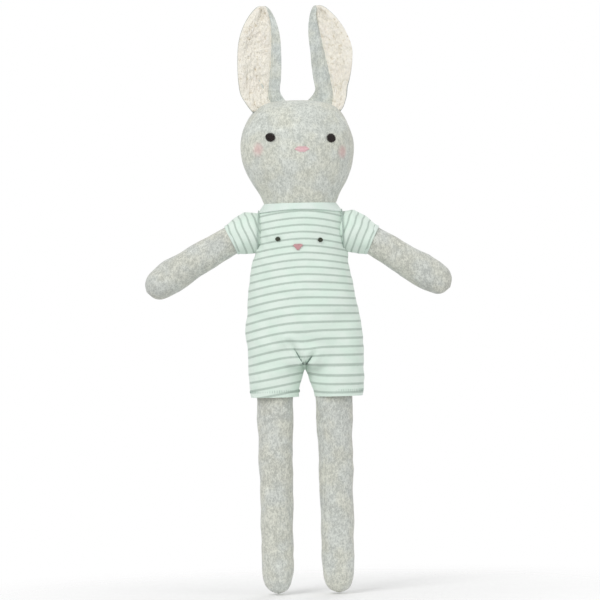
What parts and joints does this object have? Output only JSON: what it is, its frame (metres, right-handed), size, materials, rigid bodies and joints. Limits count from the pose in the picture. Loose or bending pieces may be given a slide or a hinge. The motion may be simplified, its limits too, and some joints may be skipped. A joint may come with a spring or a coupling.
{
  "type": "stuffed bunny doll",
  "caption": "Slim stuffed bunny doll in grey knit with long sherpa-lined ears and a striped one-piece romper; head, ears, arms and legs move.",
  "frame": {"origin": "on the ground line between the toes, at the bottom centre of the standing doll's box", "axes": "+Z from toes to ears, -Y the way the face and belly look, +X the doll's own left"},
  "size_m": [0.1938, 0.0598, 0.3799],
  "materials": {
    "grey_knit": "matte",
    "mint_stripe_jersey": "matte",
    "mint_rib": "matte",
    "cream_sherpa": "matte",
    "dark_thread": "satin",
    "pink_thread": "satin",
    "green_thread": "satin",
    "fibre_filling": "matte",
    "closure_tape": "matte"
  },
  "bodies": {
    "torso": {"torso_front": "grey_knit", "torso_back": "grey_knit", "torso_stuffing": "fibre_filling", "romper_front": "mint_stripe_jersey", "romper_back_left": "mint_stripe_jersey", "romper_back_right": "mint_stripe_jersey", "romper_neckband": "mint_rib", "romper_gusset": "mint_stripe_jersey", "romper_eye_left": "green_thread", "romper_eye_right": "green_thread", "romper_nose": "pink_thread", "closure_hook_tape": "closure_tape", "closure_loop_tape": "closure_tape"},
    "neck": {"neck_skin": "grey_knit", "neck_stuffing": "fibre_filling"},
    "head": {"head_front": "grey_knit", "head_back": "grey_knit", "head_stuffing": "fibre_filling", "eye_left": "dark_thread", "eye_right": "dark_thread", "nose": "pink_thread"},
    "ear_left": {"ear_left_back": "grey_knit", "ear_left_lining": "cream_sherpa"},
    "shoulder_left": {"arm_left_tab": "grey_knit"},
    "arm_left": {"arm_left_skin": "grey_knit", "arm_left_stuffing": "fibre_filling", "romper_sleeve_left": "mint_stripe_jersey", "sleeve_hem_left": "mint_rib"},
    "leg_left": {"leg_left_skin": "grey_knit", "leg_left_stuffing": "fibre_filling", "romper_leg_left": "mint_stripe_jersey", "leg_hem_left": "mint_rib"},
    "ear_right": {"ear_right_back": "grey_knit", "ear_right_lining": "cream_sherpa"},
    "shoulder_right": {"arm_right_tab": "grey_knit"},
    "arm_right": {"arm_right_skin": "grey_knit", "arm_right_stuffing": "fibre_filling", "romper_sleeve_right": "mint_stripe_jersey", "sleeve_hem_right": "mint_rib"},
    "leg_right": {"leg_right_skin": "grey_knit", "leg_right_stuffing": "fibre_filling", "romper_leg_right": "mint_stripe_jersey", "leg_hem_right": "mint_rib"}
  },
  "joints": [
    {"name": "neck_turn", "type": "hinge", "parent": "torso", "child": "neck", "pos_m": [0, 0, 0.264], "axis": [0, 0, 1], "range_deg": [-45, 45]},
    {"name": "head_nod", "type": "hinge", "parent": "neck", "child": "head", "pos_m": [0, 0, 0.264], "axis": [0.9945, 0.1045, 0], "range_deg": [-25, 28]},
    {"name": "ear_left_fold", "type": "hinge", "parent": "head", "child": "ear_left", "pos_m": [0.02218, 0.00233, 0.319], "axis": [0.9945, 0.1045, 0], "range_deg": [-50, 40]},
    {"name": "ear_right_fold", "type": "hinge", "parent": "head", "child": "ear_right", "pos_m": [-0.02218, -0.00233, 0.319], "axis": [0.9945, 0.1045, 0], "range_deg": [-50, 40]},
    {"name": "arm_left_swing", "type": "hinge", "parent": "torso", "child": "shoulder_left", "pos_m": [0.0305, 0, 0.234], "axis": [0, 0, -1], "range_deg": [-50, 50]},
    {"name": "arm_left_raise", "type": "hinge", "parent": "shoulder_left", "child": "arm_left", "pos_m": [0.0305, 0, 0.234], "axis": [0, -1, 0], "range_deg": [-30, 75]},
    {"name": "arm_right_swing", "type": "hinge", "parent": "torso", "child": "shoulder_right", "pos_m": [-0.0305, 0, 0.234], "axis": [0, 0, 1], "range_deg": [-50, 50]},
    {"name": "arm_right_raise", "type": "hinge", "parent": "shoulder_right", "child": "arm_right", "pos_m": [-0.0305, 0, 0.234], "axis": [0, 1, 0], "range_deg": [-30, 75]},
    {"name": "leg_left_swing", "type": "hinge", "parent": "torso", "child": "leg_left", "pos_m": [0.0196, 0, 0.15], "axis": [-1, 0, 0], "range_deg": [-30, 90]},
    {"name": "leg_right_swing", "type": "hinge", "parent": "torso", "child": "leg_right", "pos_m": [-0.0196, 0, 0.15], "axis": [-1, 0, 0], "range_deg": [-30, 90]}
  ]
}
